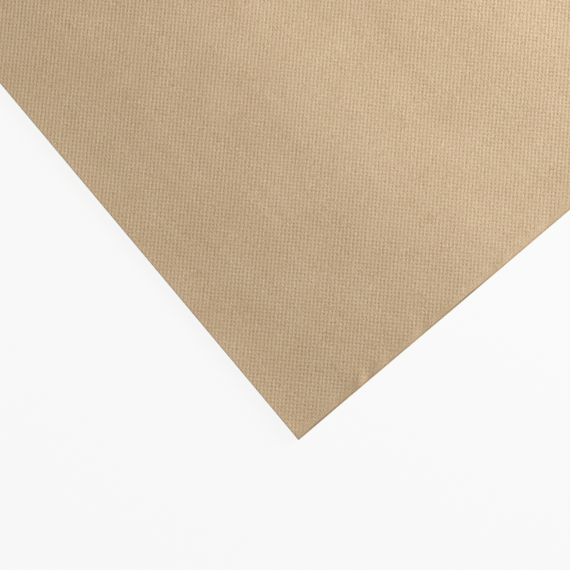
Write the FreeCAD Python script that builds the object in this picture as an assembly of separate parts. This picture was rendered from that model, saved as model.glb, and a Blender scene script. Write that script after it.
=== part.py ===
import FreeCAD, Part
import math
import os

# Paper napkin, a square of soft two-ply tissue folded twice into a smaller square, lying flat.
# Millimetres. X runs across the first fold, Y across the second, Z up from the table.
# The origin is the middle of the underside. The closed corner, where both folds meet, is at -X -Y.

# Driving dimensions
sheet_width = 330.0   # the opened napkin, measured across the first fold
sheet_length = 330.0  # the opened napkin, measured across the second fold
leaf = 0.35           # thickness of one leaf, its two embossed plies together
leaf_gap = 0.30       # air between the two leaves that the first fold joins
pocket_gap = 0.30     # air between the two inner leaves, inside the second fold

# The first fold lays one leaf on another, so the second fold bends this pair
pair = 2 * leaf + leaf_gap
first_outside = leaf_gap / 2 + leaf
second_outside = pocket_gap / 2 + pair


def flat_run(opened, inside, thickness):
    """The straight run on each side of a fold whose middle line is as long as the opened sheet."""
    bend = math.pi * (inside + thickness / 2)
    return (opened - bend) / 2


first_run = flat_run(sheet_width, leaf_gap / 2, leaf)
second_run = flat_run(sheet_length, pocket_gap / 2, pair)
folded_width = first_run + first_outside
folded_length = second_run + second_outside

# Where each fold's axis lies, with the folded square centred on the origin
first_axis_x = first_outside - folded_width / 2
second_axis_y = second_outside - folded_length / 2
second_axis_z = second_outside
open_edge_x = folded_width / 2


def point(x, z):
    """A point of the section at the second fold's axis, where z is measured from that axis."""
    return FreeCAD.Vector(x, second_axis_y, second_axis_z + z)


def half_turn(radius, middle_z):
    """The first fold's bend, seen along the fold, from its upper leaf to its lower one."""
    return Part.Arc(
        point(first_axis_x, middle_z + radius),
        point(first_axis_x - radius, middle_z),
        point(first_axis_x, middle_z - radius),
    ).toShape()


def run(z, start_x, end_x):
    return Part.makeLine(point(start_x, z), point(end_x, z))


def first_fold_section():
    """Two leaves and the bend that joins them: the upper half of the napkin, cut across X."""
    middle_z = pocket_gap / 2 + pair / 2
    outside = first_outside
    inside = leaf_gap / 2
    outline = Part.Wire([
        run(middle_z + outside, open_edge_x, first_axis_x),
        half_turn(outside, middle_z),
        run(middle_z - outside, first_axis_x, open_edge_x),
        Part.makeLine(point(open_edge_x, middle_z - outside), point(open_edge_x, middle_z - inside)),
        run(middle_z - inside, open_edge_x, first_axis_x),
        half_turn(inside, middle_z).reversed(),
        run(middle_z + inside, first_axis_x, open_edge_x),
        Part.makeLine(point(open_edge_x, middle_z + inside), point(open_edge_x, middle_z + outside)),
    ])
    return Part.Face(outline)


def napkin():
    """The section runs to the open edge above, turns through the second fold and runs back below."""
    section = first_fold_section()
    axis_point = point(0, 0)
    along_fold = FreeCAD.Vector(1, 0, 0)
    to_open_edge = FreeCAD.Vector(0, second_run, 0)
    upper_half = section.extrude(to_open_edge)
    bend = section.revolve(axis_point, along_fold, 180)
    below = section.copy()
    below.rotate(axis_point, along_fold, 180)
    lower_half = below.extrude(to_open_edge)
    return upper_half.fuse([bend, lower_half]).removeSplitter()


def one_solid(shape):
    if len(shape.Solids) != 1 or not shape.isValid():
        raise ValueError("the folded sheet isn't one valid solid")
    return shape.Solids[0]


os.makedirs("parts", exist_ok=True)
sheet = one_solid(napkin())
sheet.exportStep("parts/napkin.step")
box = sheet.optimalBoundingBox()
print(f"napkin {box.XLength:.2f} x {box.YLength:.2f} x {box.ZLength:.2f} mm, {sheet.Volume:.0f} mm3")
print(f"the flat sheet holds {sheet_width * sheet_length * leaf:.0f} mm3")
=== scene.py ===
import math

import bpy
import numpy as np
from mathutils import Matrix, Vector


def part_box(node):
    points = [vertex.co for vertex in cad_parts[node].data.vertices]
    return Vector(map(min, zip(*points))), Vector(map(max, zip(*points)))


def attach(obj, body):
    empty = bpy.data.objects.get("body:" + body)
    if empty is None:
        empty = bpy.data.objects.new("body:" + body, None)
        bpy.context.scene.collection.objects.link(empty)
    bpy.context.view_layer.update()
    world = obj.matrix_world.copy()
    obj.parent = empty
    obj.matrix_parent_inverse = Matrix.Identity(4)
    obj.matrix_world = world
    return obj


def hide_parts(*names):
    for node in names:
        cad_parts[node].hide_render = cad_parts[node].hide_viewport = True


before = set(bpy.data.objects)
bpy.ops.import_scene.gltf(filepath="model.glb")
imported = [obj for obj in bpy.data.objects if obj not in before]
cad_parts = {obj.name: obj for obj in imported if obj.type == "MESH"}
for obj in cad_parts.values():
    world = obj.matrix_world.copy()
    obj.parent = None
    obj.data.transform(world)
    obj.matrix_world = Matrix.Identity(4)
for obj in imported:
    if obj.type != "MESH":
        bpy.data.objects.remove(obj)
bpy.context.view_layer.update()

napkinLow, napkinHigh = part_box("napkin")
print("frame loaded, folded napkin", [round(1000 * (b - a), 2) for a, b in zip(napkinLow, napkinHigh)], "mm")


# The sheet: metres, folded in half along Y at -X, and then in half again along X at -Y
sheetValues = {
    "leaf": 0.00035,           # one leaf, its two plies together
    "leafGap": 0.0003,         # air inside the first fold
    "pocketGap": 0.0003,       # air inside the second fold
    "dotStep": 0.000821,       # lines of the emboss along each edge; a dot sits on every second crossing
    "dotDepth": 0.000112,      # how far a dot is pressed in
    "dotSharpness": 0.62,      # 0 for a dimple that runs into its neighbours, 1 for a pit of its own
    "dotSpread": 0.24,         # share by which one dot's depth differs from the next
    "dotPatches": 0.08,        # share by which the depth comes and goes over a few dots
    "patchStep": 0.0042,       # how far apart those patches lie
    "dotWander": 0.11,         # how far a dot strays from its place, in lines of the emboss
    "firstFlattening": 0.30,   # share of the dots' depth that is lost on each fold
    "secondFlattening": 0.66,
    "firstFlatReach": 0.0009,  # how far from each fold the dots come back to full depth
    "secondFlatReach": 0.0024,
    "firstSquareness": 9.0,    # power of the superellipse that each fold's nose follows; 2 is round
    "secondSquareness": 3.6,
    "innerShortfall": 0.0007,  # how far the inner leaves' edges lie inside the outer ones
    "lowerOverhang": 0.0005,   # how far the lower half's far edge lies outside the upper one
    "firstTurnSteps": 5,       # mesh lines round half of each bend
    "secondTurnSteps": 8,
    "firstTurnLines": 1,       # lines of the emboss there
    "secondTurnLines": 3,
    "coarseStep": 0.0066,      # mesh lines on the faces that lie inside the folds
    "seed": 7,
}

# Painted shade on the upper rim of the second fold's nose, a darker crease colour standing for the shadow
# under the fold's turn: metres
creaseShadeValues = {
    "reach": 0.00036,          # how far it runs in from the rim
    "fade": 0.0005,            # over what length it fades in from the middle of the nose
    "cornerReach": 0.0010,     # how far its colour spreads from the closed corner
    "patches": 0.20,           # share by which its darkness drifts along it, and over what length
    "patchStep": 0.0085,
    "stretches": (             # where it is darker: place along the fold, share that is added, half width
        (0.0085, 0.95, 0.0080),
        (0.0660, 1.10, 0.0065),
    ),
}

# How the folded stack lies: metres of lift at its top, fading to none at the table
lieValues = {
    "firstFoldSpring": 0.0005,
    "firstFoldReach": 0.008,
    "secondFoldSpring": 0.0003,
    "secondFoldReach": 0.012,
    "closedCornerSpring": 0.0008,
    "closedCornerReach": 0.012,
    "openCornerLift": 0.0036,
    "openCornerPower": 2,      # how closely that lift keeps to the corner
    "fanning": 1.5,            # how much more the upper leaves lift than the lower ones
    "foldReach": 0.007,        # how far from a fold the leaves swell as they lift
    "flutter": 0.00016,        # waves of the open edges, which differ from leaf to leaf
    "flutterLength": 0.047,
    "flutterTurn": 5.0,        # radians by which the wave of the highest leaf is ahead of the lowest one's
    "flutterPower": 8,         # how closely the waves keep to the edges
    "waves": (                 # height, length along X, length along Y, phase
        (0.00128, 0.100, 0.90, -2.30),
        (0.00030, 0.050, 0.60, -1.58),
        (0.00020, 0.071, 0.052, 4.0),
    ),
    "streaks": (               # height, step along X, step along Y of smooth noise
        (0.000030, 0.0026, 0.020),
        (0.000050, 0.0080, 0.016),
    ),
}

# Slanting puckers across the second fold
puckerValues = {
    "slant": 0.695,            # how far each one leans from square to the fold, in radians
    "reach": 0.0038,           # how far they run in from the fold, and how suddenly they end there
    "endPower": 4,
    "each": (                  # place along the fold, height, half width
        (0.0158, -0.00019, 0.0025),
        (0.0240, 0.00030, 0.0014),
        (0.0275, -0.00028, 0.0015),
        (0.0318, 0.00009, 0.0023),
        (0.0361, -0.00014, 0.0020),
        (0.0486, -0.00032, 0.0020),
        (0.0547, -0.00010, 0.0018),
        (0.0621, 0.00013, 0.0032),
        (0.0740, -0.00013, 0.0032),
        (0.0810, 0.00013, 0.0018),
        (0.0990, -0.00016, 0.0022),
        (0.1130, 0.00014, 0.0020),
        (0.1310, -0.00018, 0.0024),
        (0.1470, 0.00012, 0.0022),
    ),
}

rng = np.random.default_rng(sheetValues["seed"])
leaf = sheetValues["leaf"]
pair = 2 * leaf + sheetValues["leafGap"]
firstRadius = (sheetValues["leafGap"] + leaf) / 2
secondRadius = (sheetValues["pocketGap"] + pair) / 2
firstTurn = firstRadius * math.pi / 2       # flat length of half of each bend
secondTurn = secondRadius * math.pi / 2
firstAxisX = napkinLow.x + firstRadius + leaf / 2
secondAxisY = napkinLow.y + secondRadius + pair / 2
secondAxisZ = (napkinLow.z + napkinHigh.z) / 2
firstRun = napkinHigh.x - firstAxisX        # from each bend's end to the open edge
secondRun = napkinHigh.y - secondAxisY
stackHeight = napkinHigh.z - napkinLow.z
sheetWidth = 2 * (firstTurn + firstRun)
sheetLength = 2 * (secondTurn + secondRun)
print("flat sheet", round(sheetWidth, 4), "x", round(sheetLength, 4), "m")


def smoothStep(x):
    # 3x2 - 2x3 between 0 and 1, flat outside
    x = np.clip(x, 0, 1)
    return x * x * (3 - 2 * x)


def edgeLines(turn, turnSteps, run, step):
    # Flat distances from a fold's middle to the open edge: even steps round the bend, then whole steps
    count = round(run / step)
    bend = turn * np.arange(turnSteps) / turnSteps
    return np.concatenate([bend, turn + run * np.arange(count + 1) / count])


def thinned(lines, turnSteps, run, coarseStep):
    # Which of the lines the hidden faces keep: all that are round the bend, then even picks to the edge
    count = round(run / coarseStep)
    picks = turnSteps + np.round(np.linspace(0, len(lines) - 1 - turnSteps, count + 1)).astype(int)
    return np.concatenate([np.arange(turnSteps), picks])


noiseCells = (97, 89)    # the lattice of smooth noise, past which it repeats


def softNoise(x, y, stepX, stepY):
    # Noise between -1 and 1: random values on a lattice, blended along both ways by the smooth step
    table = rng.uniform(-1, 1, noiseCells)
    u, v = (x - napkinLow.x) / stepX, (y - napkinLow.y) / stepY
    i, j = np.floor(u).astype(int), np.floor(v).astype(int)
    s, t = smoothStep(u - i), smoothStep(v - j)
    ways = ((0, 0), (1, 0), (0, 1), (1, 1))
    corner = [table[(i + a) % noiseCells[0], (j + b) % noiseCells[1]] for a, b in ways]
    return (1 - t) * ((1 - s) * corner[0] + s * corner[1]) + t * ((1 - s) * corner[2] + s * corner[3])


def latticePlace(flat, turn, run, step, turnLines):
    # The emboss's own scale: turnLines lines round half a bend, then one line to each step, and the same
    # with a minus on the fold's other side
    count = round(run / step)
    away = np.abs(flat)
    outside = turnLines + (away - turn) * count / run
    return np.sign(flat) * np.where(away < turn, away * turnLines / turn, outside)


def lieOf(x, y, level):
    # Lift at a point of the stack, growing with its level there: springy folds fade exponentially, long
    # waves are sines, streaks are smooth noise, the open corner fans out with a power of the level, and the
    # open edges flutter by a sine whose phase turns with the level
    v = lieValues
    fromX, fromY = x - napkinLow.x, y - napkinLow.y
    alongX, alongY = fromX / (napkinHigh.x - napkinLow.x), fromY / (napkinHigh.y - napkinLow.y)
    lift = v["firstFoldSpring"] * np.exp(-fromX / v["firstFoldReach"])
    lift = lift + v["secondFoldSpring"] * np.exp(-fromY / v["secondFoldReach"])
    lift = lift + v["closedCornerSpring"] * np.exp(-(fromX + fromY) / v["closedCornerReach"])
    for height, lengthX, lengthY, phase in v["waves"]:
        turn = 2 * math.pi * (fromX / lengthX + fromY / lengthY) + phase
        lift = lift + height * (1 + np.sin(turn)) / 2
    for height, stepX, stepY in v["streaks"]:
        lift = lift + height * (1 + softNoise(x, y, stepX, stepY))
    fan = v["openCornerLift"] * (alongX * alongY) ** v["openCornerPower"] * level ** (v["fanning"] - 1)
    turn = 2 * math.pi * (fromX - fromY) / v["flutterLength"] + v["flutterTurn"] * level
    nearEdge = np.maximum(alongX, alongY).clip(0, 1) ** v["flutterPower"]
    flutter = v["flutter"] * nearEdge * (1 + np.sin(turn))
    return (lift + fan + flutter) * level


def bellSum(x, bells, narrowing=1):
    # Adds up bells exp(-d2), each with its place, height and half width; narrowing scales the distance
    return sum(tall * np.exp(-((x - place) * narrowing / half) ** 2) for place, tall, half in bells)


def puckerOf(x, y, level):
    # Each pucker is a bell across its slanting line, and fades with a power of the distance from the fold
    v = puckerValues
    fromFold = y - napkinLow.y
    along = (x - napkinLow.x) - fromFold * math.tan(v["slant"])
    height = bellSum(along, v["each"], math.cos(v["slant"]))
    return height * np.exp(-(fromFold / v["reach"]) ** v["endPower"]) * level


noseSamples = 500    # points along a quarter of a nose, between which equal lengths are looked up


def noseOf(turn, squareness):
    # A squared nose for a turn from -90 to 90 degrees: the cosine and sine of an angle, both raised to
    # 2 / squareness, with the angle looked up so that equal turns are equal lengths along the nose
    power = 2 / squareness
    angles = np.linspace(0, math.pi / 2, noseSamples)
    curve = np.stack([np.cos(angles).clip(0, 1) ** power, np.sin(angles) ** power])
    lengths = np.append(0, np.cumsum(np.hypot(*np.diff(curve))))
    angle = np.interp(np.abs(turn) / (math.pi / 2), lengths / lengths[-1], angles)
    return np.cos(angle).clip(0, 1) ** power, np.sign(turn) * np.sin(angle) ** power


def stackPlace(across, along, outward):
    # Carries flat places to the flat stack: a run and half a nose about each fold's axis, outward is the
    # distance from the sheet's middle surface towards the outside of the first fold
    ahead, up = noseOf(across / firstRadius, sheetValues["firstSquareness"])
    runA = np.maximum(np.abs(across) - firstTurn, 0)
    runA = runA * np.where(across < 0, 1 - sheetValues["innerShortfall"] / firstRun, 1)
    x = firstAxisX + runA - (firstRadius + outward) * ahead
    fromAxis = secondRadius + (firstRadius + outward) * up
    ahead, up = noseOf(along / secondRadius, sheetValues["secondSquareness"])
    runB = np.maximum(np.abs(along) - secondTurn, 0)
    runB = runB * np.where(along < 0, 1 + sheetValues["lowerOverhang"] / secondRun, 1)
    y = secondAxisY + runB - fromAxis * ahead
    return x, y, secondAxisZ + fromAxis * up


def foldedPoints(across, along, outward, side):
    # The stack with its lift, which is that of the leaf's middle, so a leaf keeps its thickness where the
    # stack opens. Within foldReach of a fold it is more and more that of the skin itself. Levels run from
    # 0 at the lowest leaf to 1 at the highest
    middleX, middleY, _ = stackPlace(across, along, 0)
    fromFold = np.minimum(middleX - napkinLow.x, middleY - napkinLow.y)
    bySkin = np.exp(-(fromFold / lieValues["foldReach"]) ** 2)
    liftX, liftY, liftZ = stackPlace(across, along, side * bySkin * leaf / 2)
    level = 0.5 + (liftZ - napkinLow.z - stackHeight / 2) / (stackHeight - leaf * (1 - bySkin))
    level = level.clip(0, 1)
    x, y, z = stackPlace(across, along, outward)
    z = z + lieOf(liftX, liftY, level) + puckerOf(liftX, liftY, level)
    return np.stack([x, y, z], axis=-1)


def zipStrip(fine, coarse, rowOf):
    # Joins a line of many points to one of few that lie on the same curve: a fan to the nearest coarse point
    # for each fine step, and one triangle where the fan passes to the next
    passing = (rowOf[:-1] + rowOf[1:] + 1) // 2
    anchor = np.searchsorted(passing, np.arange(len(fine) - 1), side="right")
    fans = np.column_stack([fine[:-1], fine[1:], coarse[anchor]])
    bridges = np.column_stack([coarse[:-1], fine[passing], coarse[1:]])
    return np.vstack([fans, bridges])


def gridTriangles(index, swap=None):
    # Two triangles for each cell of a grid of point numbers; swap says where the other diagonal is used
    a, b, c, d = index[:-1, :-1], index[1:, :-1], index[1:, 1:], index[:-1, 1:]
    if swap is None:
        swap = np.zeros(a.shape, bool)
    first = np.where(swap[..., None], np.stack([a, b, d], -1), np.stack([a, b, c], -1))
    second = np.where(swap[..., None], np.stack([b, c, d], -1), np.stack([a, c, d], -1))
    return np.vstack([first.reshape(-1, 3), second.reshape(-1, 3)])


def numpyMesh(name, points, triangles, maps, weights):
    # One mesh object from arrays, with its UV maps and point attributes
    mesh = bpy.data.meshes.new(name)
    mesh.vertices.add(len(points))
    mesh.vertices.foreach_set("co", points.astype(np.float32).ravel())
    mesh.loops.add(3 * len(triangles))
    mesh.loops.foreach_set("vertex_index", triangles.astype(np.int32).ravel())
    mesh.polygons.add(len(triangles))
    mesh.polygons.foreach_set("loop_start", np.arange(0, 3 * len(triangles), 3, dtype=np.int32))
    mesh.update(calc_edges=True)
    for mapName, places in maps.items():
        layer = mesh.uv_layers.new(name=mapName)
        layer.uv.foreach_set("vector", places.astype(np.float32).ravel())
    for weightName, values in weights.items():
        attribute = mesh.attributes.new(weightName, "FLOAT", "POINT")
        attribute.data.foreach_set("value", values.astype(np.float32))
    piece = bpy.data.objects.new(name, mesh)
    bpy.context.scene.collection.objects.link(piece)
    return piece


def skinGrids():
    # The skin's three grids of points over the flat (across, along) square. The outside of the outer leaf
    # has a mesh line for each line of the emboss, and the faces inside the folds keep few of those lines
    v = sheetValues
    halfAcross = edgeLines(firstTurn, v["firstTurnSteps"], firstRun, v["dotStep"])
    halfAlong = edgeLines(secondTurn, v["secondTurnSteps"], secondRun, v["dotStep"])
    keptAcross = thinned(halfAcross, v["firstTurnSteps"], firstRun, v["coarseStep"])
    keptHalf = thinned(halfAlong, v["secondTurnSteps"], secondRun, v["coarseStep"])
    fullAlong = np.concatenate([-halfAlong[:0:-1], halfAlong])
    middle = len(halfAlong) - 1
    keptAlong = np.concatenate([middle - keptHalf[:0:-1], middle + keptHalf])
    coarseHalf = halfAcross[keptAcross]
    coarseAcross = np.concatenate([-coarseHalf[:0:-1], coarseHalf])
    coarseAlong = fullAlong[keptAlong]
    faces = (
        (halfAcross, fullAlong, 1.0),            # outside of the outer leaf
        (-coarseHalf[1:], coarseAlong, 1.0),     # the inner leaf's face inside the second fold
        (coarseAcross, coarseAlong, -1.0),       # the lining: both leaves' faces inside the first fold
    )
    grids, places = [], []
    total = 0
    for acrossLines, alongLines, side in faces:
        a, b = np.meshgrid(acrossLines, alongLines, indexing="ij")
        grids.append(total + np.arange(a.size).reshape(a.shape))
        places.append((a.ravel(), b.ravel(), np.full(a.size, side)))
        total += a.size
    across, along, side = (np.concatenate(column) for column in zip(*places))
    return grids, (keptAcross, keptAlong), across, along, side


def dotOf(p, q):
    # The emboss between 0 and 1: a blend of (1 + cos p cos q) / 2 and of ((cos p + cos q) / 2) squared
    p, q = np.cos(math.pi * p), np.cos(math.pi * q)
    sharp = sheetValues["dotSharpness"]
    return sharp * ((p + q) / 2) ** 2 + (1 - sharp) * (1 + p * q) / 2


def embossOf(across, along):
    # How strong the emboss is: less on each fold by the smooth step, and different from dot to dot by
    # random shares and from patch to patch by smooth noise
    v = sheetValues
    onFirst = smoothStep(1 - (np.abs(across) - firstTurn) / v["firstFlatReach"])
    onSecond = smoothStep(1 - (np.abs(along) - secondTurn) / v["secondFlatReach"])
    emboss = (1 - v["firstFlattening"] * onFirst) * (1 - v["secondFlattening"] * onSecond)
    emboss = emboss * (1 + v["dotSpread"] * rng.uniform(-1, 1, across.size))
    return emboss * (1 + v["dotPatches"] * softNoise(across, along, v["patchStep"], v["patchStep"]))


def creaseShadeOf(across, along, side):
    # How dark the crease's painted shade is, which stands for the shadow under the fold's turn: a band on
    # the upper rim that fades by the smooth step, or an exponential fade from the closed corner where that
    # is more. It drifts by smooth noise, and bells make its stretches
    v = creaseShadeValues
    fromFirst, fromSecond = np.abs(across) - firstTurn / 2, np.abs(along) - secondTurn / 2
    corner = np.exp(-(fromFirst.clip(0) + fromSecond.clip(0)) / v["cornerReach"])
    creaseShade = np.maximum(smoothStep(1 - fromSecond / v["reach"]), corner)
    creaseShade = creaseShade * smoothStep(along / v["fade"]) * (side > 0)
    drift = v["patches"] * softNoise(across, along, v["patchStep"], v["patchStep"])
    return creaseShade * (1 + drift + bellSum(np.abs(across), v["stretches"]))


def skinTriangles(grids, kept, swap):
    # The grids' own cells, strips where a fine grid meets a coarse one, and the inner leaf's cut edges
    exposed, pocket, lining = grids
    keptAcross, keptAlong = kept
    middle = len(keptAcross) - 1
    lowEdge = np.stack([np.append(exposed[0, 0], pocket[:, 0]), lining[middle::-1, 0]])
    highEdge = np.stack([np.append(exposed[0, -1], pocket[:, -1]), lining[middle::-1, -1]])
    return np.vstack([
        gridTriangles(exposed, swap),
        gridTriangles(pocket[::-1]),
        zipStrip(exposed[0], pocket[0], keptAlong),
        gridTriangles(lining)[:, ::-1],
        zipStrip(exposed[-1], lining[-1], keptAlong)[:, ::-1],
        zipStrip(exposed[:, 0], lining[middle:, 0], keptAcross)[:, ::-1],
        zipStrip(exposed[:, -1], lining[middle:, -1], keptAcross),
        gridTriangles(lowEdge)[:, ::-1],
        gridTriangles(highEdge),
        gridTriangles(np.stack([pocket[-1], lining[0]]))[:, ::-1],
    ])


# The bake's map, in shares of its square
mapValues = {
    "outerFrom": 0.17,     # where the first fold's outside lies, with the outer leaf at full scale past it
    "liningFrom": 0.83,    # the same for the lining
    "narrowing": 0.3,      # scale across of the faces inside the folds
    "margin": 0.005,
}


def bakePlaces(grids, triangles, across, along, side):
    # Unrolls the skin across in straight bands: inner leaf, outer leaf, lining. The far cut edge, whose
    # triangles come last, has both its lines at the inner leaf's edge
    v = mapValues
    exposed, pocket, lining = grids
    share = across / sheetWidth
    narrow = v["narrowing"] * share
    outer = np.arange(across.size) < exposed.size
    unrolled = np.select([outer, side > 0], [v["outerFrom"] + share, v["outerFrom"] + narrow],
                         v["liningFrom"] - narrow)
    upward = v["margin"] + (1 - 2 * v["margin"]) * (0.5 + along / sheetLength)
    corners = triangles.copy()
    farEdge = triangles[-2 * (lining.shape[1] - 1):]
    onLining = np.searchsorted(lining[0], farEdge).clip(0, lining.shape[1] - 1)
    corners[-len(farEdge):] = np.where(lining[0][onLining] == farEdge, pocket[-1][onLining], farEdge)
    return np.column_stack([unrolled, upward])[corners]


def makeSheet():
    # A closed skin: flat points, pressed in by the emboss, folded, and joined along the grids' borders
    v = sheetValues
    grids, kept, across, along, side = skinGrids()
    exposed = grids[0]
    p = latticePlace(across, firstTurn, firstRun, v["dotStep"], v["firstTurnLines"])
    q = latticePlace(along, secondTurn, secondRun, v["dotStep"], v["secondTurnLines"])
    emboss = embossOf(across, along)
    # painted shade along the second fold's crease and at the closed corner, kept as a point weight
    creaseShade = creaseShadeOf(across, along, side)
    outer = np.arange(across.size) < exposed.size
    pressed = np.where(outer, emboss * v["dotDepth"] * dotOf(p, q), 0)
    points = foldedPoints(across, along, side * leaf / 2 - pressed, side)

    # each cell's diagonal runs along the valley between two dots
    cell = exposed[:-1, :-1]
    swap = np.cos(math.pi * p[cell]) * np.cos(math.pi * q[cell]) > 0
    triangles = skinTriangles(grids, kept, swap)
    strayP, strayQ = v["dotWander"] * rng.uniform(-1, 1, (2, across.size))
    maps = {
        "dotMap": np.column_stack([p + strayP, q + strayQ])[triangles],
        "OFBake": bakePlaces(grids, triangles, across, along, side),
    }
    weights = {"embossDepth": emboss * side, "creaseShade": creaseShade}
    return numpyMesh("napkin_sheet", points, triangles, maps, weights)


napkinSheet = makeSheet()
print("sheet made,", len(napkinSheet.data.polygons), "triangles")


def nodesOf(owner):
    # A fresh node tree with makers for its nodes; a socket is fed by a value or by another socket
    owner.use_nodes = True
    tree = owner.node_tree
    tree.nodes.clear()

    def feed(socket, value):
        if isinstance(value, bpy.types.NodeSocket):
            tree.links.new(value, socket)
        else:
            socket.default_value = value

    def node(kind, **settings):
        made = tree.nodes.new("ShaderNode" + kind)
        for name, value in settings.items():
            if name.replace("_", " ") in made.inputs:
                feed(made.inputs[name.replace("_", " ")], value)
            else:
                setattr(made, name, value)
        return made

    def maths(operation, *values, clamp=False):
        made = node("Math", operation=operation, use_clamp=clamp)
        for socket, value in zip(made.inputs, values):
            feed(socket, value)
        return made.outputs[0]

    return feed, node, maths


# Unbleached two-ply tissue: linear colours, lengths in metres
tissueValues = {
    "pale": (0.659, 0.508, 0.332),       # the palest and the deepest fibres
    "deep": (0.467, 0.302, 0.155),
    "fleck": (0.400, 0.275, 0.160),      # sparse darker fibres
    "creaseShadeColour": (0.205, 0.178, 0.108),    # painted shade along the second fold's crease
    "wornLevel": 0.40,                   # where the ground lies between the pale colour and the deep one
    "dotToneAndShade": 0.125,                    # how much further towards the deep colour a dot goes: painted shade in its pit, partly the pressed fibres' own darker tone
    "creaseShadeTint": 0.53,                  # how far the crease's painted shade goes to its colour
    "mottle": 4.8,                       # how strongly fine noise moves the ground between its two colours
    "cloud": 0.40,                       # how strongly broad noise does
    "fleckTint": 0.40,                   # how far a fleck goes to its own colour
    "fleckFrom": 0.62,                   # the noise's level at which a fleck begins, and how sharply
    "fleckEdge": 6.0,
    "rosy": (1.007, 0.994, 1.003),       # the hue drifts slowly between these two tints
    "olive": (0.993, 1.005, 0.985),
    "hueDrift": 2.6,
    "roughness": 0.75,
    "shine": 0.35,
    "sheen": 0.06,
    "sheenRoughness": 0.6,
    "fibreHeight": 0.00012,              # how far the fuzz of fibres stands up
    "fibreNoise": (2100.0, 3.0, 0.60),   # each noise: scale in cells to the metre, detail, roughness
    "mottleNoise": (3500.0, 4.0, 0.65),
    "cloudNoise": (75.0, 2.0, 0.50),
    "fleckNoise": (1260.0, 1.0, 0.50),
    "hueNoise": (260.0, 1.0, 0.50),
}


def tissueMaterial():
    # The ground's place between pale and deep is its level plus the dots' tint (painted shade in the pits,
    # partly the pressed fibres' own tone) and two noises. Flecks, the crease's painted shade and a drift of
    # hue come over it, and fuzz and the dots' relief tilt the light
    v = tissueValues
    material = bpy.data.materials.new("embossed_tissue")
    feed, node, maths = nodesOf(material)
    place = node("TexCoord").outputs["Object"]

    def noise(name):
        scale, detail, roughness = v[name]
        made = node("TexNoise", Vector=place, Scale=scale, Detail=detail, Roughness=roughness)
        return made.outputs["Fac"]

    def moved(name, strength, start, clamp=False):
        away = maths("SUBTRACT", noise(name), 0.5)
        return maths("MULTIPLY_ADD", away, strength, start, clamp=clamp)

    def mixed(share, first, second, **settings):
        made = node("Mix", data_type="RGBA", Factor=share, **settings)
        feed(made.inputs[6], first)
        feed(made.inputs[7], second)
        return made.outputs[2]

    # the same emboss as the mesh's: 1 at a dot's middle, 0 on the ground between dots
    dots = node("SeparateXYZ", Vector=node("UVMap", uv_map="dotMap").outputs[0])
    depth = node("Attribute", attribute_name="embossDepth").outputs["Fac"]
    cosines = [maths("COSINE", maths("MULTIPLY", dots.outputs[k], math.pi)) for k in "XY"]
    sharp = sheetValues["dotSharpness"]
    own = maths("MULTIPLY", maths("POWER", maths("ADD", *cosines), 2.0), sharp / 4)
    shared = maths("MULTIPLY_ADD", maths("MULTIPLY", *cosines), (1 - sharp) / 2, (1 - sharp) / 2)
    pressed = maths("MULTIPLY", maths("ADD", own, shared), depth)

    # each dot's pit goes deeper in colour: painted shade there, partly the pressed fibres' own tone
    toneAndPitShade = maths("MULTIPLY_ADD", maths("ABSOLUTE", pressed), v["dotToneAndShade"], v["wornLevel"])
    toneAndPitShade = moved("mottleNoise", v["mottle"], toneAndPitShade)
    toneAndPitShade = moved("cloudNoise", v["cloud"], toneAndPitShade, clamp=True)
    colour = mixed(toneAndPitShade, (*v["pale"], 1), (*v["deep"], 1))
    flecks = maths("SUBTRACT", noise("fleckNoise"), v["fleckFrom"])
    flecks = maths("MULTIPLY", flecks, v["fleckEdge"], clamp=True)
    colour = mixed(maths("MULTIPLY", flecks, v["fleckTint"]), colour, (*v["fleck"], 1))
    # the crease's painted shade, read from its point weight
    creaseShade = node("Attribute", attribute_name="creaseShade").outputs["Fac"]
    colour = mixed(maths("MULTIPLY", creaseShade, v["creaseShadeTint"]), colour, (*v["creaseShadeColour"], 1))
    hueShare = moved("hueNoise", v["hueDrift"], 0.5, clamp=True)
    hue = mixed(hueShare, (*v["rosy"], 1), (*v["olive"], 1))
    colour = mixed(1.0, colour, hue, blend_type="MULTIPLY")

    fuzz = node("Bump", Strength=1.0, Distance=v["fibreHeight"], Height=noise("fibreNoise"))
    relief = node("Bump", invert=True, Strength=1.0, Distance=sheetValues["dotDepth"], Height=pressed,
                  Normal=fuzz.outputs[0])
    shader = node("BsdfPrincipled", Roughness=v["roughness"], Specular_IOR_Level=v["shine"],
                  Sheen_Weight=v["sheen"], Sheen_Roughness=v["sheenRoughness"])
    feed(shader.inputs["Base Color"], colour)
    feed(shader.inputs["Normal"], relief.outputs[0])
    node("OutputMaterial", Surface=shader.outputs[0])
    return material


napkinSheet.data.materials.append(tissueMaterial())
napkinSheet.data.shade_smooth()
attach(napkinSheet, "root")
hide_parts("napkin")
print("tissue material set")


# The camera looks down on the closed corner. Pixels are those of a 570 x 570 frame
cameraValues = {
    "frameSize": 570,
    "lens": 70.0,
    "sensor": 36.0,
    "clip": (0.01, 20),              # nearest and farthest that is seen, in metres
    "tipPixel": (298.62, 439.85),    # where the closed corner shows
    "metresPerPixel": 0.0003025,     # at the closed corner
    "heading": 40.09,                # degrees from +Y to the picture's upward direction
    "tilt": 4.11,                    # degrees that the view leans from straight down
}


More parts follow.
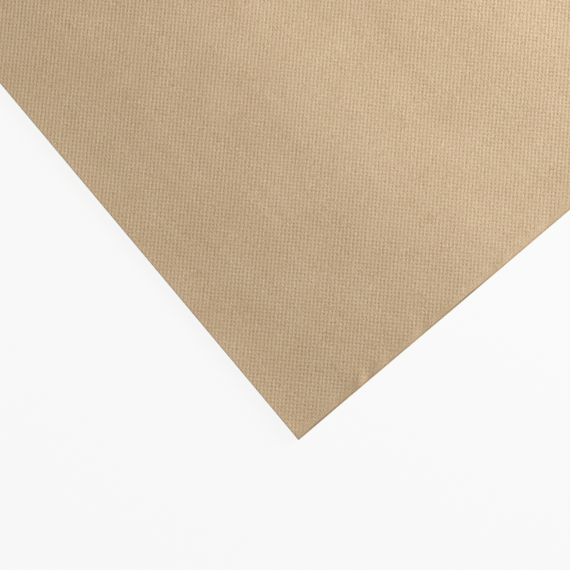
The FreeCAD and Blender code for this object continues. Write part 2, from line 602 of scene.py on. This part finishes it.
def makeCamera():
    # The eye lies on the ray through the corner's pixel, as far back as the scale at the corner asks
    v = cameraValues
    focal = v["lens"] / v["sensor"] * v["frameSize"]
    lean = Matrix.Rotation(math.radians(v["tilt"]), 3, "X")
    turn = Matrix.Rotation(-math.radians(v["heading"]), 3, "Z") @ lean
    middle = v["frameSize"] / 2
    ray = Vector(((v["tipPixel"][0] - middle) / focal, (middle - v["tipPixel"][1]) / focal, -1))
    corner = Vector((napkinLow.x, napkinLow.y, secondAxisZ))
    data = bpy.data.cameras.new("camera")
    data.lens, data.sensor_width = v["lens"], v["sensor"]
    data.clip_start, data.clip_end = v["clip"]
    data.dof.use_dof = False
    eye = bpy.data.objects.new("camera", data)
    place = corner - turn @ ray * focal * v["metresPerPixel"]
    eye.matrix_world = Matrix.Translation(place) @ turn.to_4x4()
    bpy.context.scene.collection.objects.link(eye)
    bpy.context.scene.camera = eye


makeCamera()
print("camera set")


# Table, lamp and surroundings: metres and linear colours
studioValues = {
    "tableSize": 60.0,
    "tableDrop": 0.00005,            # keeps the table's face clear of the napkin's underside
    "tableColour": (0.93, 0.93, 0.93),
    "tableGlow": 0.94,               # share of the table near the napkin that the camera sees as backdrop
    "nearGlow": 0.950,               # the backdrop's level there, which makes up for the rest of the light
    "glowFrom": 0.16,                # the table turns all backdrop between these distances from the middle
    "glowTo": 0.6,
    "backdrop": (0.94, 0.94, 0.94),
    "worldLevel": 0.312,
    "worldColour": (1.08, 0.99, 0.80),
    "lampLevel": 0.652,              # light that the lamp adds at the lit point
    "lampColour": (0.955, 1.005, 1.12),
    "lampPlace": (0.464, -0.172, 0.38),
    "lampSize": 0.41,
    "litPoint": (-0.03, -0.04, 0.0),
    "aimPoint": (0.1, 0.8, 0.0),
}


def makeTable():
    # A matt square below the napkin. What the camera sees of it is mostly an even glow, whose share and
    # level change evenly with the distance from the middle
    v = studioValues
    half = v["tableSize"] / 2
    z = napkinLow.z - v["tableDrop"]
    mesh = bpy.data.meshes.new("table_top")
    corners = [(-half, -half, z), (half, -half, z), (half, half, z), (-half, half, z)]
    mesh.from_pydata(corners, [], [(0, 1, 2, 3)])
    table = bpy.data.objects.new("table_top", mesh)
    bpy.context.scene.collection.objects.link(table)
    material = bpy.data.materials.new("pale_table")
    feed, node, maths = nodesOf(material)
    paths = node("LightPath")
    seen = maths("MAXIMUM", paths.outputs["Is Camera Ray"], paths.outputs["Is Glossy Ray"])
    seen = maths("MAXIMUM", seen, paths.outputs["Is Transmission Ray"])
    away = node("VectorMath", operation="LENGTH")
    feed(away.inputs[0], node("TexCoord").outputs["Object"])

    def fade(near, far):
        ramp = node("MapRange")
        levels = (away.outputs["Value"], v["glowFrom"], v["glowTo"], near, far)
        for socket, level in zip(ramp.inputs, levels):
            feed(socket, level)
        return ramp.outputs[0]

    matt = node("BsdfDiffuse", Color=(*v["tableColour"], 1))
    glow = node("Emission", Color=(1, 1, 1, 1), Strength=fade(v["nearGlow"], v["backdrop"][0]))
    blend = node("MixShader", Fac=maths("MULTIPLY", seen, fade(v["tableGlow"], 1.0)))
    feed(blend.inputs[1], matt.outputs[0])
    feed(blend.inputs[2], glow.outputs[0])
    node("OutputMaterial", Surface=blend.outputs[0])
    mesh.materials.append(material)


def makeLamp():
    # An area lamp's light is power / (pi * distance) squared, less the slant at the table and off its axis
    v = studioValues
    data = bpy.data.lights.new("lamp", "AREA")
    data.shape, data.size, data.color = "SQUARE", v["lampSize"], v["lampColour"]
    place = Vector(v["lampPlace"])
    way, aim = Vector(v["litPoint"]) - place, Vector(v["aimPoint"]) - place
    slant = -way.normalized().z
    offAxis = way.normalized().dot(aim.normalized())
    data.energy = v["lampLevel"] * (math.pi * way.length) ** 2 / (slant * offAxis)
    lamp = bpy.data.objects.new("lamp", data)
    lamp.matrix_world = Matrix.Translation(place) @ aim.to_track_quat("-Z", "Y").to_matrix().to_4x4()
    bpy.context.scene.collection.objects.link(lamp)


def makeSurroundings():
    # The camera sees the plain backdrop, and everything else is lit by the warmer world
    v = studioValues
    world = bpy.data.worlds.new("surroundings")
    bpy.context.scene.world = world
    feed, node, _ = nodesOf(world)
    light = node("Background", Color=(*v["worldColour"], 1), Strength=v["worldLevel"])
    shown = node("Background", Color=(*v["backdrop"], 1))
    blend = node("MixShader", Fac=node("LightPath").outputs["Is Camera Ray"])
    feed(blend.inputs[1], light.outputs[0])
    feed(blend.inputs[2], shown.outputs[0])
    node("OutputWorld", Surface=blend.outputs[0])


makeTable()
makeLamp()
makeSurroundings()
bpy.context.scene.view_settings.view_transform = "Standard"
print("table, lamp and surroundings set")
